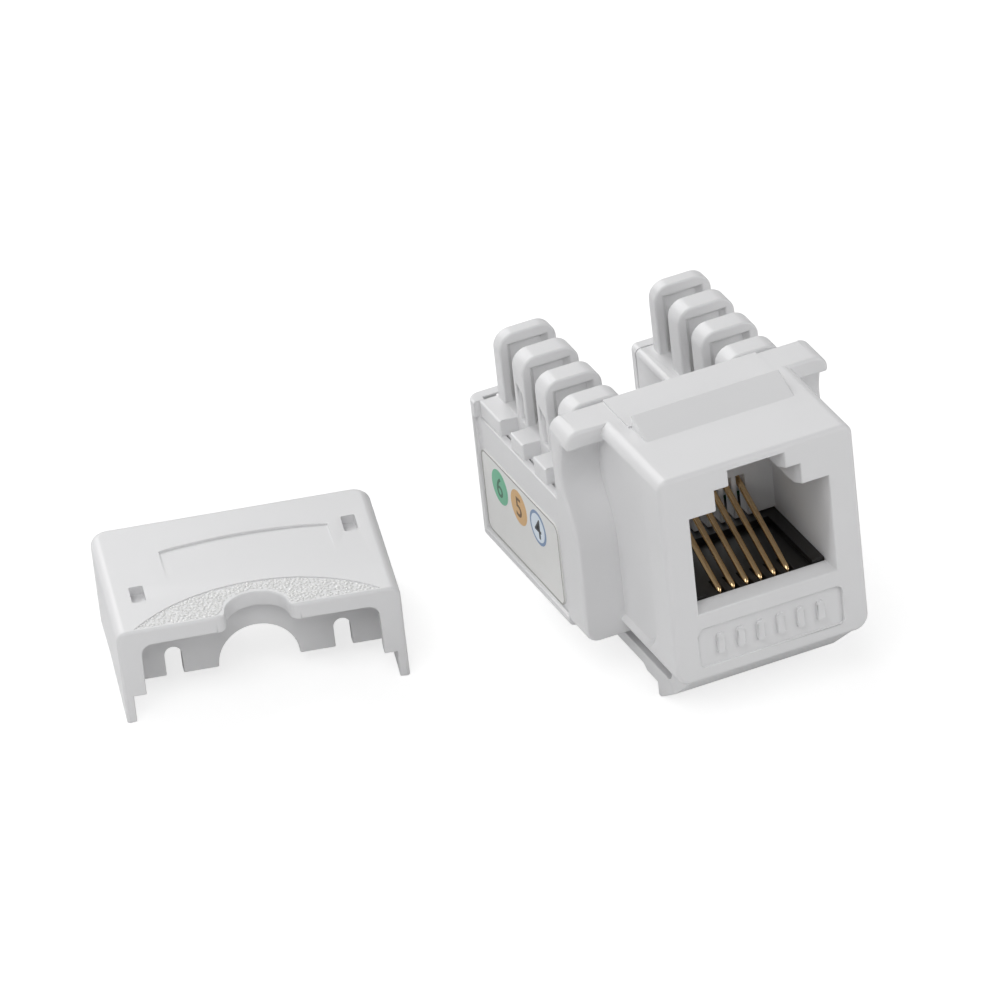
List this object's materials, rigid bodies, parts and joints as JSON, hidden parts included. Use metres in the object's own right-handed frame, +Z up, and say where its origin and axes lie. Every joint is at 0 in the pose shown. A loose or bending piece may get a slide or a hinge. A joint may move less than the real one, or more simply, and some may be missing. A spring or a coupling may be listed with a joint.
{
  "type": "keystone jack",
  "caption": "White right-angle keystone jack: modular plug port with spring contacts in front, punch-down terminal block on top at the back, dust cap taken off beside it.",
  "frame": {"origin": "centre of the front face, in the plane of the plug port's mouth", "axes": "+X to the right as the front face is looked at, +Y to the rear along the plug's way in, +Z up towards the punch-down block"},
  "size_m": [0.0485, 0.0375, 0.0215],
  "materials": {
    "white_plastic": "fine moulded satin, white ABS",
    "black_plastic": "moulded satin, black glass-filled polyester",
    "contact_bronze": "gold flash over drawn phosphor bronze",
    "terminal_metal": "tin plate over stamped phosphor bronze",
    "board_laminate": "glass-epoxy laminate with green solder mask",
    "label_film": "printed self-adhesive film"
  },
  "bodies": {
    "root": {"front_housing": "white_plastic", "rear_body": "white_plastic", "idc_block": "white_plastic", "dust_cap": "white_plastic", "contact_insert": "black_plastic", "contact_wire_1": "contact_bronze", "contact_wire_2": "contact_bronze", "contact_wire_3": "contact_bronze", "contact_wire_4": "contact_bronze", "contact_wire_5": "contact_bronze", "contact_wire_6": "contact_bronze", "idc_terminal_1": "terminal_metal", "idc_terminal_2": "terminal_metal", "idc_terminal_3": "terminal_metal", "idc_terminal_4": "terminal_metal", "idc_terminal_5": "terminal_metal", "idc_terminal_6": "terminal_metal", "circuit_board": "board_laminate", "label_left": "label_film", "label_right": "label_film"}
  },
  "joints": []
}
